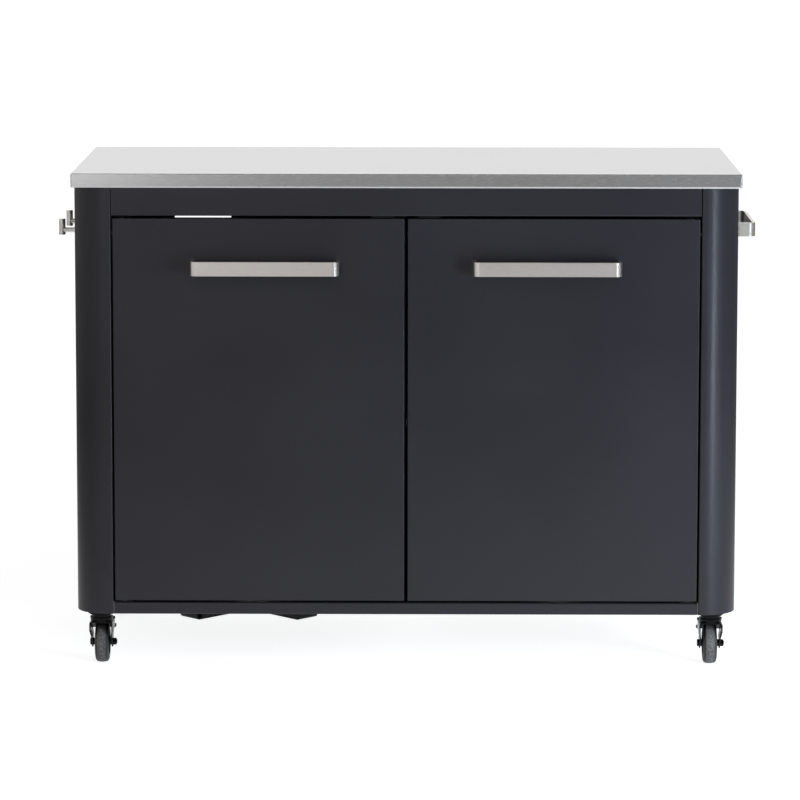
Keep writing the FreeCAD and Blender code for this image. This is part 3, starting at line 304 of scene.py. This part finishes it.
class Finish:
    """A material being put together from nodes."""

    def __init__(self, name, colour, metallic, roughness):
        self.material = bpy.data.materials.new(name)
        self.material.use_nodes = True
        self.tree = self.material.node_tree
        self.surface = self.tree.nodes["Principled BSDF"]
        self.surface.inputs["Base Color"].default_value = (*colour, 1.0)
        self.surface.inputs["Metallic"].default_value = metallic
        self.surface.inputs["Roughness"].default_value = roughness
        self.place = self.tree.nodes.new("ShaderNodeTexCoord")
        self.height = None

    def link(self, source, target):
        self.tree.links.new(source, target)

    def stretched(self, scale):
        """Object coordinates, stretched by a scale for each axis."""
        mapping = self.tree.nodes.new("ShaderNodeMapping")
        mapping.inputs["Scale"].default_value = scale
        self.link(self.place.outputs["Object"], mapping.inputs["Vector"])
        return mapping.outputs["Vector"]

    def noise(self, scale, detail=2.0, roughness=0.5, stretch=(1.0, 1.0, 1.0)):
        """Cloudy pattern; scale is in waves per metre before the stretch."""
        node = self.tree.nodes.new("ShaderNodeTexNoise")
        node.inputs["Scale"].default_value = scale
        node.inputs["Detail"].default_value = detail
        node.inputs["Roughness"].default_value = roughness
        self.link(self.stretched(stretch), node.inputs["Vector"])
        return node.outputs["Fac"]

    def spread(self, value, low, high, start=0.3, end=0.7):
        """The pattern's values from start to end become low to high."""
        node = self.tree.nodes.new("ShaderNodeMapRange")
        node.inputs["From Min"].default_value = start
        node.inputs["From Max"].default_value = end
        node.inputs["To Min"].default_value = low
        node.inputs["To Max"].default_value = high
        self.link(value, node.inputs["Value"])
        return node.outputs["Result"]

    def tones(self, value, dark, light, start=0.3, end=0.7):
        """Colour that runs from dark to light with the pattern."""
        node = self.tree.nodes.new("ShaderNodeValToRGB")
        node.color_ramp.elements[0].position = start
        node.color_ramp.elements[0].color = (*dark, 1.0)
        node.color_ramp.elements[1].position = end
        node.color_ramp.elements[1].color = (*light, 1.0)
        self.link(value, node.inputs["Fac"])
        return node.outputs["Color"]

    def blended(self, amount, first, second):
        """First colour, with the second laid over it by the amount."""
        node = self.tree.nodes.new("ShaderNodeMix")
        node.data_type = "RGBA"
        self.link(amount, node.inputs["Factor"])
        self.link(first, node.inputs["A"])
        self.link(second, node.inputs["B"])
        return node.outputs["Result"]

    def colour(self, value):
        self.link(value, self.surface.inputs["Base Color"])

    def rough(self, value):
        self.link(value, self.surface.inputs["Roughness"])

    def bump(self, value, strength, distance):
        """Relief from a pattern, laid on top of any relief before it."""
        node = self.tree.nodes.new("ShaderNodeBump")
        node.inputs["Strength"].default_value = strength
        node.inputs["Distance"].default_value = distance
        self.link(value, node.inputs["Height"])
        if self.height is not None:
            self.link(self.height, node.inputs["Normal"])
        self.height = node.outputs["Normal"]
        self.link(self.height, self.surface.inputs["Normal"])


def brushed_steel(name, along, dark, light, rough_low, rough_high, stretch_gloss=0.6, bent=False):
    """Stainless steel with fine brush lines along one axis, or along a bar bent in plan."""
    finish = Finish(name, light, 1.0, rough_high)
    finish.surface.inputs["Anisotropic"].default_value = stretch_gloss
    grain = finish.tree.nodes.new("ShaderNodeTangent")
    grain.direction_type = "RADIAL"
    grain.axis = "Z" if bent else along.upper()
    if bent:
        finish.surface.inputs["Anisotropic Rotation"].default_value = QUARTER_TURN
    finish.link(grain.outputs["Tangent"], finish.surface.inputs["Tangent"])
    fine = [LINES_ACROSS] * 3
    fine["xyz".index(along)] = LINES_ALONG
    broad = [BANDS_ACROSS] * 3
    broad["xyz".index(along)] = BANDS_ALONG
    lines = finish.noise(1.0, 2.0, 0.6, fine)
    bands = finish.noise(1.0, 2.0, 0.5, broad)
    finish.colour(finish.blended(
        finish.spread(bands, 0.2, 0.8),
        finish.tones(lines, dark, light),
        finish.tones(lines, [0.97 * part for part in dark], [0.97 * part for part in light]),
    ))
    finish.rough(finish.spread(lines, rough_low, rough_high))
    finish.bump(lines, 0.03, 0.0001)
    return finish.material


def powder_coat(name, dark, light, rough_low, rough_high, peel=0.05, gloss=0.5):
    """Thin satin paint with a fine orange peel."""
    finish = Finish(name, light, 0.0, rough_high)
    finish.surface.inputs["Specular IOR Level"].default_value = gloss
    clouds = finish.noise(4.0, 3.0)
    grain = finish.noise(900.0, 2.0, 0.6)
    finish.colour(finish.tones(clouds, dark, light))
    finish.rough(finish.spread(clouds, rough_low, rough_high))
    finish.bump(grain, peel, 0.0003)
    return finish.material


def zinc_plate(name, light):
    """Bright plated fasteners, slightly clouded."""
    finish = Finish(name, light, 1.0, 0.3)
    clouds = finish.noise(260.0, 3.0)
    finish.colour(finish.tones(clouds, [0.75 * part for part in light], light))
    finish.rough(finish.spread(clouds, 0.2, 0.42))
    finish.bump(finish.noise(1500.0), 0.05, 0.0001)
    return finish.material


def galvanised_sheet():
    """Zinc-coated sheet with its spangle."""
    finish = Finish("galvanised_sheet", (0.5, 0.51, 0.52), 1.0, 0.45)
    spangle = finish.tree.nodes.new("ShaderNodeTexVoronoi")
    spangle.inputs["Scale"].default_value = 130.0
    finish.link(finish.stretched((1.0, 1.0, 1.0)), spangle.inputs["Vector"])
    shade = finish.tree.nodes.new("ShaderNodeSeparateColor")
    finish.link(spangle.outputs["Color"], shade.inputs["Color"])
    finish.colour(finish.tones(
        shade.outputs["Red"], (0.4, 0.41, 0.43), (0.58, 0.59, 0.6), 0.0, 1.0
    ))
    finish.rough(finish.spread(shade.outputs["Green"], 0.34, 0.56, 0.0, 1.0))
    finish.bump(finish.noise(700.0), 0.06, 0.0002)
    return finish.material


def moulded_plastic(name, dark, light, rough_low, rough_high):
    """Moulded plastic with a fine spark-eroded texture."""
    finish = Finish(name, light, 0.0, rough_high)
    clouds = finish.noise(40.0, 3.0)
    finish.colour(finish.tones(clouds, dark, light))
    finish.rough(finish.spread(finish.noise(180.0), rough_low, rough_high))
    finish.bump(finish.noise(1300.0, 2.0, 0.6), 0.15, 0.0002)
    return finish.material


def tyre_rubber():
    """Grey solid rubber with a dusty mottle; the tread is painted pale as a highlight, the
    shoulders and sides painted dark as shade.
    """
    finish = Finish("tyre_rubber", (0.09, 0.09, 0.1), 0.0, 0.7)
    dust = finish.noise(320.0, 5.0, 0.7)
    axes = finish.tree.nodes.new("ShaderNodeSeparateXYZ")
    finish.link(finish.place.outputs["Normal"], axes.inputs[0])
    painted_shade_mask = finish.tree.nodes.new("ShaderNodeMath")
    painted_shade_mask.operation = "ABSOLUTE"
    finish.link(axes.outputs["X"], painted_shade_mask.inputs[0])
    # Painted highlight and shade: the more a face turns sideways, the darker its tones.
    finish.colour(finish.blended(
        finish.spread(painted_shade_mask.outputs[0], 0.0, 1.0, 0.06, 0.5),
        finish.tones(dust, (0.045, 0.043, 0.043), (0.235, 0.225, 0.22), 0.34, 0.66),
        finish.tones(dust, (0.014, 0.014, 0.014), (0.032, 0.031, 0.031)),
    ))
    finish.rough(finish.spread(dust, 0.40, 0.58))
    finish.bump(finish.noise(1600.0, 3.0), 0.2, 0.0002)
    return finish.material


def ready_for(piece):
    """Only this piece is selected and active, out of edit mode."""
    if bpy.context.mode != "OBJECT":
        bpy.ops.object.mode_set(mode="OBJECT")
    bpy.ops.object.select_all(action="DESELECT")
    if piece is not None:
        piece.select_set(True)
        bpy.context.view_layer.objects.active = piece


def block(name, low, high):
    """Cuboid between two corners, ready to be shaped."""
    ready_for(None)
    low = Vector(low)
    high = Vector(high)
    bpy.ops.mesh.primitive_cube_add(size=1.0, location=(low + high) / 2)
    piece = bpy.context.active_object
    piece.name = name
    piece.data.name = name
    piece.scale = high - low
    bpy.ops.object.transform_apply(location=True, rotation=True, scale=True)
    return piece


def pick_faces(piece, test):
    """Edit mode, with only the faces selected whose middle and normal pass the test."""
    ready_for(piece)
    bpy.context.tool_settings.mesh_select_mode = (False, False, True)
    bpy.ops.object.mode_set(mode="EDIT")
    bpy.ops.mesh.select_all(action="DESELECT")
    bpy.ops.object.mode_set(mode="OBJECT")
    for face in piece.data.polygons:
        face.select = test(face.center, face.normal)
    bpy.ops.object.mode_set(mode="EDIT")


def pick_edges(piece, test):
    """Edit mode, with only the edges selected whose two ends pass the test."""
    ready_for(piece)
    bpy.context.tool_settings.mesh_select_mode = (False, True, False)
    bpy.ops.object.mode_set(mode="EDIT")
    bpy.ops.mesh.select_all(action="DESELECT")
    bpy.ops.object.mode_set(mode="OBJECT")
    corners = piece.data.vertices
    for edge in piece.data.edges:
        first, second = edge.vertices
        edge.select = test(corners[first].co, corners[second].co)
    bpy.ops.object.mode_set(mode="EDIT")


def round_edges(piece, radius, segments, test):
    """Bevels the edges whose ends pass the test."""
    pick_edges(piece, test)
    bpy.ops.mesh.bevel(offset=radius, segments=segments, affect="EDGES", clamp_overlap=True)
    bpy.ops.object.mode_set(mode="OBJECT")


def apply_last(piece, modifier):
    """Makes a modifier part of the mesh."""
    ready_for(piece)
    bpy.ops.object.modifier_apply(modifier=modifier.name)


def ease(piece, width, segments=2, angle=30.0):
    """Breaks every sharp edge by a narrow round."""
    modifier = piece.modifiers.new("ease", "BEVEL")
    modifier.width = width
    modifier.segments = segments
    modifier.limit_method = "ANGLE"
    modifier.angle_limit = math.radians(angle)
    apply_last(piece, modifier)


def combine(piece, other, operation):
    """Cuts the other solid out of the piece, or joins it on; the other is used up."""
    modifier = piece.modifiers.new("combine", "BOOLEAN")
    modifier.operation = operation
    modifier.solver = "EXACT"
    modifier.object = other
    apply_last(piece, modifier)
    bpy.data.objects.remove(other, do_unlink=True)


def turned(name, profile, centre, axis, steps=48):
    """Round piece spun about an axis; the profile is a list of places along it and radii."""
    ready_for(None)
    along = Vector([1.0 if letter == axis else 0.0 for letter in "xyz"])
    outward = Vector((1.0, 0.0, 0.0)) if axis == "z" else Vector((0.0, 0.0, 1.0))
    bpy.ops.mesh.primitive_plane_add(size=0.001, location=centre)
    piece = bpy.context.active_object
    piece.name = name
    piece.data.name = name
    bpy.ops.object.transform_apply(location=True, rotation=True, scale=True)
    bpy.context.tool_settings.mesh_select_mode = (True, False, False)
    bpy.ops.object.mode_set(mode="EDIT")
    bpy.ops.mesh.select_all(action="SELECT")
    bpy.ops.mesh.merge(type="CENTER")
    bpy.ops.mesh.select_all(action="SELECT")
    here = along * profile[0][0] + outward * profile[0][1]
    bpy.ops.transform.translate(value=here)
    for distance, radius in profile[1:]:
        there = along * distance + outward * radius
        bpy.ops.mesh.extrude_region_move(TRANSFORM_OT_translate={"value": there - here})
        here = there
    bpy.ops.mesh.select_all(action="SELECT")
    bpy.ops.mesh.spin(steps=steps, angle=2 * math.pi, center=centre, axis=along)
    bpy.ops.mesh.select_all(action="SELECT")
    bpy.ops.mesh.remove_doubles(threshold=0.000001)
    bpy.ops.mesh.normals_make_consistent(inside=False)
    bpy.ops.object.mode_set(mode="OBJECT")
    return piece


def arc(middle, radius, start, end, steps):
    """Points on an arc, as places along the axis and radii; angles in degrees from the axis."""
    points = []
    for step in range(steps + 1):
        angle = math.radians(start + (end - start) * step / steps)
        points.append((middle[0] + radius * math.cos(angle), middle[1] + radius * math.sin(angle)))
    return points


def rounded_rod(start, end, radius, round_radius):
    """Profile of a round bar whose rims are rounded."""
    rim = radius - round_radius
    profile = [(start, 0.0)]
    profile.extend(arc((start + round_radius, rim), round_radius, 180.0, 90.0, 3))
    profile.extend(arc((end - round_radius, rim), round_radius, 90.0, 0.0, 3))
    profile.append((end, 0.0))
    return profile


def copied(piece, name, offset):
    """Another of the same piece, moved by the offset, with its own mesh."""
    ready_for(piece)
    bpy.ops.object.duplicate(linked=False)
    copy = bpy.context.active_object
    copy.name = name
    copy.data.name = name
    copy.location = offset
    bpy.ops.object.transform_apply(location=True, rotation=True, scale=True)
    return copy


def eased_copy(node, name, width):
    """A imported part's own shape in one closed mesh, with its sharp edges broken."""
    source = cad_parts[node]
    piece = source.copy()
    piece.data = source.data.copy()
    bpy.context.scene.collection.objects.link(piece)
    piece.name = name
    piece.data.name = name
    ready_for(piece)
    bpy.context.tool_settings.mesh_select_mode = (True, False, False)
    bpy.ops.object.mode_set(mode="EDIT")
    bpy.ops.mesh.select_all(action="SELECT")
    bpy.ops.mesh.remove_doubles(threshold=0.000001)
    bpy.ops.mesh.dissolve_limited(angle_limit=math.radians(2.0))
    bpy.ops.object.mode_set(mode="OBJECT")
    ease(piece, width, 2, 40.0)
    return piece


def finish_piece(piece, material, body, slot, *nodes, angle=32.0):
    """Shades the piece, gives it its material, hangs it on its body and hides the imported parts it
    stands for.
    """
    ready_for(piece)
    bpy.ops.object.shade_smooth_by_angle(angle=math.radians(angle))
    flat = piece.modifiers.new("flat_faces", "WEIGHTED_NORMAL")
    flat.keep_sharp = True
    apply_last(piece, flat)
    piece.data.materials.clear()
    piece.data.materials.append(material)
    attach(piece, body)
    if nodes:
        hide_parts(*nodes)


def make_worktop(material):
    """Folded steel tray with rounded edges; its lower rim leans in and is hemmed."""
    low, high = [Vector(corner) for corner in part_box("worktop")]
    middle = (low + high) / 2
    middle.z = low.z
    width, depth, height = high - low

    def resized(inset, further):
        """Takes the picked faces from one inset on all four sides to another."""
        bpy.ops.transform.resize(
            value=(
                (width - 2 * further) / (width - 2 * inset),
                (depth - 2 * further) / (depth - 2 * inset),
                1.0,
            ),
            center_override=middle,
        )

    def extruded(rise):
        bpy.ops.mesh.extrude_region_move(TRANSFORM_OT_translate={"value": (0.0, 0.0, rise)})

    tray = block("worktop_tray", low + Vector((0.0, 0.0, RIM_HEIGHT)), high)
    pick_faces(tray, lambda place, normal: normal.z < -0.9)
    extruded(-RIM_HEIGHT)
    resized(0.0, RIM_LEAN)
    bpy.ops.mesh.inset(thickness=WORKTOP_HEM - RIM_LEAN)
    extruded(WORKTOP_HEM_HEIGHT)
    extruded(0.0)
    resized(WORKTOP_HEM, WORKTOP_SHEET)
    extruded(height - WORKTOP_SHEET - WORKTOP_HEM_HEIGHT)
    hem_top = low.z + WORKTOP_HEM_HEIGHT

    def outside(point):
        """The point lies on the tray's outer faces, not inside the hem."""
        side = min(point.x - low.x, high.x - point.x)
        face = min(point.y - low.y, high.y - point.y)
        return min(side, face) < WORKTOP_SHEET * 0.9

    round_edges(
        tray, WORKTOP_ROUND, 6,
        lambda a, b: outside(a) and outside(b) and (
            min(a.z, b.z) > hem_top or abs(a.z - b.z) > RIM_HEIGHT / 2
        ),
    )
    finish_piece(tray, material, "cabinet", "worktop_steel", "worktop", angle=20.0)


def make_bar(node, body, out, material):
    """Flat bar bent to a U, its two ends on the cabinet and its grip held out from it."""
    low, high = [Vector(corner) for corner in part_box(node)]
    axis = 0 if abs(out[0]) > 0 else 1
    sign = 1 if sum(out) > 0 else -1
    bar = block(node + "_bar", low, high)
    inner_low = low + Vector((BAR, BAR, -BAR))
    inner_high = high + Vector((-BAR, -BAR, BAR))
    if sign > 0:
        inner_low[axis] = low[axis] - BAR
        inner_high[axis] = high[axis] - BAR
        grip = high[axis]
    else:
        inner_low[axis] = low[axis] + BAR
        inner_high[axis] = high[axis] + BAR
        grip = low[axis]
    room = block("room", inner_low, inner_high)

    def upright_at(place):
        def test(a, b):
            near = abs(a[axis] - place) + abs(b[axis] - place) < BAR / 9
            return near and abs(a.z - b.z) > BAR
        return test

    round_edges(bar, BAR + BAR_BEND, 12, upright_at(grip))
    round_edges(room, BAR_BEND, 10, upright_at(grip - sign * BAR))
    combine(bar, room, "DIFFERENCE")
    ease(bar, BAR_EASE, 2, 50.0)
    finish_piece(bar, material, body, "handle_steel", node, angle=40.0)


def make_hooks(material):
    """Two hooks: a round arm with an upright post at its end."""
    low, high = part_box("tool_hooks")
    y = low[1] + POST_RADIUS
    post_x = low[0] + POST_RADIUS
    height = high[2] - low[2]
    upright = rounded_rod(0.0, height, POST_RADIUS, ROD_ROUND)
    post = turned("front_tool_hook", upright, (post_x, y, low[2]), "z")
    reach = high[0] - post_x
    arm = turned(
        "arm", [(0.0, 0.0), (0.0, ARM_RADIUS), (reach, ARM_RADIUS), (reach, 0.0)],
        (post_x, y, low[2] + ARM_RISE), "x",
    )
    combine(post, arm, "UNION")
    rear = copied(post, "rear_tool_hook", (0.0, HOOK_SPACING, 0.0))
    finish_piece(post, material, "cabinet", "handle_steel", "tool_hooks", angle=40.0)
    finish_piece(rear, material, "cabinet", "handle_steel", angle=40.0)


def tyre_profile(half):
    """Crowned tread with round shoulders and a bead groove in each side, closed on the bore."""
    shoulder = WHEEL_RADIUS - TREAD_CROWN
    crown = (half ** 2 + TREAD_CROWN ** 2) / (2 * TREAD_CROWN)
    reach = half - TREAD_ROUND
    edge = WHEEL_RADIUS - crown + math.sqrt(crown ** 2 - reach ** 2)
    lean = math.degrees(math.asin(reach / crown))
    groove = BORE_RADIUS + BEAD_OUT
    right = [
        (half, BORE_RADIUS), (half, groove),
        (half - BEAD_DEPTH, groove + BEAD_SLOPE),
        (half - BEAD_DEPTH, groove + BEAD_WIDTH - BEAD_SLOPE),
        (half, groove + BEAD_WIDTH), (half, shoulder - TREAD_ROUND),
    ]
    right.extend(arc((reach, edge - TREAD_ROUND), TREAD_ROUND, 4.0, 90.0 - lean, 6))
    right.extend(arc((0.0, WHEEL_RADIUS - crown), crown, 90.0 - lean * 0.6, 90.0, 3))
    left = [(-along, radius) for along, radius in reversed(right[:-1])]
    return right + left + right[:1]


def make_tyres(material):
    """Four solid tyres, modelled at the front left and copied."""
    first = CASTER_CORNERS[0] + "_tyre"
    low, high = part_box(first)
    centre = [(low[i] + high[i]) / 2 for i in range(3)]
    tyre = turned(first + "_ring", tyre_profile((high[0] - low[0]) / 2), centre, "x", 72)
    for corner in CASTER_CORNERS:
        node = corner + "_tyre"
        offset = Vector(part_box(node)[0]) - Vector(low)
        ring = tyre if node == first else copied(tyre, node + "_ring", offset)
        finish_piece(ring, material, corner + "_wheel", "tyre_rubber", node, angle=45.0)


def make_casters(black, plastic, hub):
    """Forks, brake pedals and hubs with their edges broken, so that they catch the light."""
    for corner in CASTER_CORNERS:
        fork = eased_copy(corner + "_fork", corner + "_caster_fork", CAST_EASE)
        finish_piece(fork, black, corner + "_swivel", "black_paint", corner + "_fork")
        wheel_hub = eased_copy(corner + "_hub", corner + "_wheel_hub", SHEET_EASE)
        finish_piece(wheel_hub, hub, corner + "_wheel", "hub_plastic", corner + "_hub")
        if corner.startswith("front"):
            pedal = eased_copy(corner + "_pedal", corner + "_brake_pedal", CAST_EASE)
            finish_piece(pedal, plastic, corner + "_pedal", "black_plastic", corner + "_pedal")
    plates = eased_copy("caster_plates", "caster_top_plates", SHEET_EASE)
    finish_piece(plates, black, "cabinet", "black_paint", "caster_plates")


def make_cradle(material):
    """The two crossed straps that the bottle stands on."""
    cradle = eased_copy("bottle_cradle", "bottle_cradle_straps", SHEET_EASE)
    finish_piece(cradle, material, "cabinet", "black_paint", "bottle_cradle")


def magnet_plate():
    """Ground steel of the catch magnets."""
    return brushed_steel("magnet_plate", "x", (0.25, 0.25, 0.25), (0.38, 0.38, 0.37), 0.3, 0.45)


def finishes():
    """Every material, by a short name."""
    return {
        "coat": powder_coat(
            "anthracite_coat", (0.0125, 0.0120, 0.0160), (0.0155, 0.0150, 0.0195), 0.30, 0.36
        ),
        "inside": powder_coat(
            "inside_coat", (0.0140, 0.0130, 0.0170), (0.0190, 0.0180, 0.0225), 0.38, 0.46
        ),
        "black": powder_coat(
            "black_coat", (0.0012, 0.0012, 0.0012), (0.0025, 0.0025, 0.0026), 0.10, 0.20, gloss=0.16
        ),
        "worktop": brushed_steel(
            "worktop_steel", "x", (0.67, 0.67, 0.67), (0.77, 0.77, 0.77), 0.24, 0.28
        ),
        "handle": brushed_steel(
            "handle_steel", "x", (0.79, 0.745, 0.70), (0.89, 0.845, 0.795), 0.36, 0.42, 0.50, True
        ),
        "side_handle": brushed_steel(
            "side_handle_steel", "y", (0.80, 0.76, 0.70), (0.88, 0.84, 0.77), 0.36, 0.42, 0.55, True
        ),
        "hook": brushed_steel(
            "hook_steel", "z", (0.90, 0.88, 0.85), (0.98, 0.96, 0.93), 0.26, 0.34, 0.0
        ),
        "zinc": zinc_plate("zinc_plate", (0.62, 0.62, 0.61)),
        "galvanised": galvanised_sheet(),
        "plastic": moulded_plastic(
            "black_plastic", (0.014, 0.014, 0.014), (0.022, 0.022, 0.022), 0.30, 0.45
        ),
        "hub": moulded_plastic(
            "hub_plastic", (0.02, 0.02, 0.021), (0.032, 0.032, 0.034), 0.35, 0.5
        ),
        "rubber": tyre_rubber(),
        "magnet": magnet_plate(),
    }


def paint_nodes(finish):
    """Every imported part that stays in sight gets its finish."""
    names = {
        "worktop_stiffeners": "galvanised",
        "base_channels": "galvanised",
        "shelf_rails": "galvanised",
        "rear_rail": "galvanised",
        "left_side_panel": "coat",
        "right_side_panel": "coat",
        "front_rail": "coat",
        "base_tray": "coat",
        "back_panel": "coat",
        "upper_back_panel": "coat",
        "divider_panel": "inside",
        "shelf": "inside",
        "bottle_cradle": "black",
        "cradle_bolts": "black",
        "caster_plates": "black",
        "caster_bolts": "black",
        "caster_kingpins": "black",
        "swivel_bearings": "black",
        # Hinge brackets and pins are painted black as shade, so that the door gap stays dark.
        "hinge_brackets": "black",
        "hinge_pins": "black",
        "door_catches": "plastic",
        "catch_magnets": "magnet",
    }
    endings = {
        "_door_skin": "coat",
        "_door_liner": "inside",
        "_hinge_bushes": "plastic",
        "_fork": "black",
        "_axle": "black",
        "_pedal_pin": "black",
        "_pedal": "plastic",
        "_hub": "hub",
    }
    for name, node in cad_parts.items():
        chosen = names.get(name, "zinc")
        for ending, other in endings.items():
            if name.endswith(ending):
                chosen = other
        for slot in node.material_slots:
            slot.material = finish[chosen]


def main():
    """The whole scene."""
    view = bpy.context.scene.view_settings
    view.view_transform = "Standard"
    place_camera()
    light_studio()
    light_world()
    lay_floor()
    finish = finishes()
    paint_nodes(finish)
    make_worktop(finish["worktop"])
    make_bar("left_door_handle", "left_door", (0, -1, 0), finish["handle"])
    make_bar("right_door_handle", "right_door", (0, -1, 0), finish["handle"])
    make_bar("side_handle", "cabinet", (1, 0, 0), finish["side_handle"])
    make_hooks(finish["hook"])
    make_tyres(finish["rubber"])
    make_casters(finish["black"], finish["plastic"], finish["hub"])
    make_cradle(finish["black"])


main()
